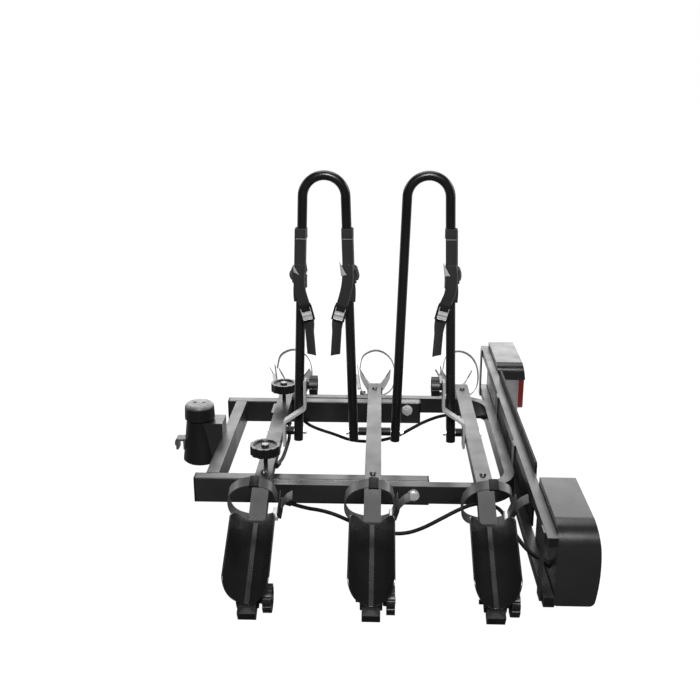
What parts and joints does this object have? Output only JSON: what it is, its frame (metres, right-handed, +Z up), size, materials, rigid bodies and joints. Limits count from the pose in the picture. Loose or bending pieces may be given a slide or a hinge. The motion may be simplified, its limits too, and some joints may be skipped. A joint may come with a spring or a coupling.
{
  "type": "hitch bike rack",
  "caption": "Bike rack that clamps on a tow ball: bent wheel rails with trays and straps on a tilting platform, two folding hoops and a lamp board.",
  "frame": {"origin": "centre of the tow ball's socket", "axes": "+X runs back from the vehicle towards the lamp board, +Y runs across it along the wheel rails, +Z up"},
  "size_m": [0.7721, 0.99, 0.6628],
  "materials": {
    "black_steel": "satin powder coat",
    "hoop_steel": "satin powder coat",
    "coupling_metal": "satin black paint on a casting",
    "black_plastic": "moulded, fine grain",
    "tray_plastic": "moulded, slightly shiny",
    "bright_steel": "zinc plated",
    "strap_plastic": "flexible ratchet strap",
    "pale_plastic": "moulded",
    "webbing": "woven webbing",
    "buckle_metal": "cast, satin",
    "plate_plastic": "moulded",
    "hood_plastic": "moulded, satin",
    "lamp_grey": "moulded, smoky grey",
    "lamp_red": "moulded lens",
    "cable_rubber": "sheathed cable"
  },
  "bodies": {
    "front_frame": {"side_tube_near": "black_steel", "side_tube_far": "black_steel", "cross_tube": "black_steel", "frame_end_caps": "black_plastic", "tilt_pivot_bolts": "bright_steel", "coupling_body": "coupling_metal", "coupling_bracket": "black_steel", "coupling_jaw": "coupling_metal"},
    "clamp_knob": {"clamp_knob": "black_plastic"},
    "clamp_pad": {"clamp_pad": "bright_steel"},
    "hoop_1": {"hoop_1": "hoop_steel", "leg_straps_1": "webbing", "cam_buckles_1": "buckle_metal"},
    "hoop_2": {"hoop_2": "hoop_steel", "leg_straps_2": "webbing", "cam_buckles_2": "buckle_metal"},
    "hoop_lock_knob_1": {"hoop_lock_knob_1": "black_plastic"},
    "hoop_lock_knob_2": {"hoop_lock_knob_2": "black_plastic"},
    "tilt_lock_knob_far": {"tilt_lock_knob_far": "black_plastic"},
    "tilt_lock_knob_near": {"tilt_lock_knob_near": "black_plastic"},
    "tray_knob_far_1": {"tray_knob_far_1": "black_plastic"},
    "tray_knob_far_2": {"tray_knob_far_2": "black_plastic"},
    "tray_knob_far_3": {"tray_knob_far_3": "black_plastic"},
    "tray_knob_near_1": {"tray_knob_near_1": "black_plastic"},
    "tray_knob_near_2": {"tray_knob_near_2": "black_plastic"},
    "tray_knob_near_3": {"tray_knob_near_3": "black_plastic"},
    "platform": {"board_posts": "black_steel", "cable_boots": "cable_rubber", "cable_far": "cable_rubber", "cable_near": "cable_rubber", "cable_rail": "cable_rubber", "hoop_bolts": "bright_steel", "hoop_lock_plates": "black_steel", "hoop_spacers": "black_plastic", "lamp_bars": "black_steel", "lamp_body_far": "lamp_grey", "lamp_body_near": "lamp_grey", "lamp_hood_far": "hood_plastic", "lamp_hood_near": "hood_plastic", "lamp_lens_far": "lamp_red", "lamp_lens_near": "lamp_red", "plate_holder": "plate_plastic", "rail_bolts": "bright_steel", "rear_u_tube": "black_steel", "tray_far_1": "tray_plastic", "tray_far_2": "tray_plastic", "tray_far_3": "tray_plastic", "tray_near_1": "tray_plastic", "tray_near_2": "tray_plastic", "tray_near_3": "tray_plastic", "tray_saddles": "black_plastic", "tube_end_caps": "black_plastic", "tyre_buckles": "pale_plastic", "tyre_straps_far": "strap_plastic", "tyre_straps_near": "strap_plastic", "wheel_rail_1": "black_steel", "wheel_rail_2": "black_steel", "wheel_rail_3": "black_steel"}
  },
  "joints": [
    {"name": "tilt", "type": "hinge", "parent": "front_frame", "child": "platform", "pos_m": [0.434, 0, 0.0145], "axis": [0, 1, 0], "range_deg": [0, 45]},
    {"name": "clamp_turn", "type": "hinge", "parent": "front_frame", "child": "clamp_knob", "pos_m": [0, 0, 0.058], "axis": [0, 0, -1], "range_deg": [0, 720]},
    {"name": "clamp_press", "type": "slide", "parent": "front_frame", "child": "clamp_pad", "axis": [0, 0, -1], "range_m": [0, 0.004]},
    {"name": "hoop_1_fold", "type": "hinge", "parent": "platform", "child": "hoop_1", "pos_m": [0.261, 0, 0.04], "axis": [-1, 0, 0], "range_deg": [0, 80]},
    {"name": "hoop_2_fold", "type": "hinge", "parent": "platform", "child": "hoop_2", "pos_m": [0.461, 0, 0.04], "axis": [-1, 0, 0], "range_deg": [0, 80]},
    {"name": "tilt_lock_near_turn", "type": "hinge", "parent": "platform", "child": "tilt_lock_knob_near", "pos_m": [0.16, -0.197, 0.052], "axis": [0, 0, 1], "continuous": true},
    {"name": "tray_near_1_turn", "type": "hinge", "parent": "platform", "child": "tray_knob_near_1", "pos_m": [0.16, -0.45748, -0.06468], "axis": [1, 0, 0], "continuous": true},
    {"name": "tray_near_2_turn", "type": "hinge", "parent": "platform", "child": "tray_knob_near_2", "pos_m": [0.36, -0.45748, -0.06468], "axis": [1, 0, 0], "continuous": true},
    {"name": "tray_near_3_turn", "type": "hinge", "parent": "platform", "child": "tray_knob_near_3", "pos_m": [0.56, -0.45748, -0.06468], "axis": [1, 0, 0], "continuous": true},
    {"name": "tilt_lock_far_turn", "type": "hinge", "parent": "platform", "child": "tilt_lock_knob_far", "pos_m": [0.16, 0.142, 0.052], "axis": [0, 0, 1], "continuous": true},
    {"name": "tray_far_1_turn", "type": "hinge", "parent": "platform", "child": "tray_knob_far_1", "pos_m": [0.16, 0.45748, -0.06468], "axis": [-1, 0, 0], "continuous": true},
    {"name": "tray_far_2_turn", "type": "hinge", "parent": "platform", "child": "tray_knob_far_2", "pos_m": [0.36, 0.45748, -0.06468], "axis": [-1, 0, 0], "continuous": true},
    {"name": "tray_far_3_turn", "type": "hinge", "parent": "platform", "child": "tray_knob_far_3", "pos_m": [0.56, 0.45748, -0.06468], "axis": [-1, 0, 0], "continuous": true},
    {"name": "hoop_lock_1_turn", "type": "hinge", "parent": "platform", "child": "hoop_lock_knob_1", "pos_m": [0.223, 0, 0.14], "axis": [1, 0, 0], "continuous": true},
    {"name": "hoop_lock_2_turn", "type": "hinge", "parent": "platform", "child": "hoop_lock_knob_2", "pos_m": [0.497, 0, 0.14], "axis": [-1, 0, 0], "continuous": true}
  ],
  "couplings": [
    {"joint": "clamp_press", "follows": "clamp_turn", "m_per_rad": 0.000318}
  ]
}
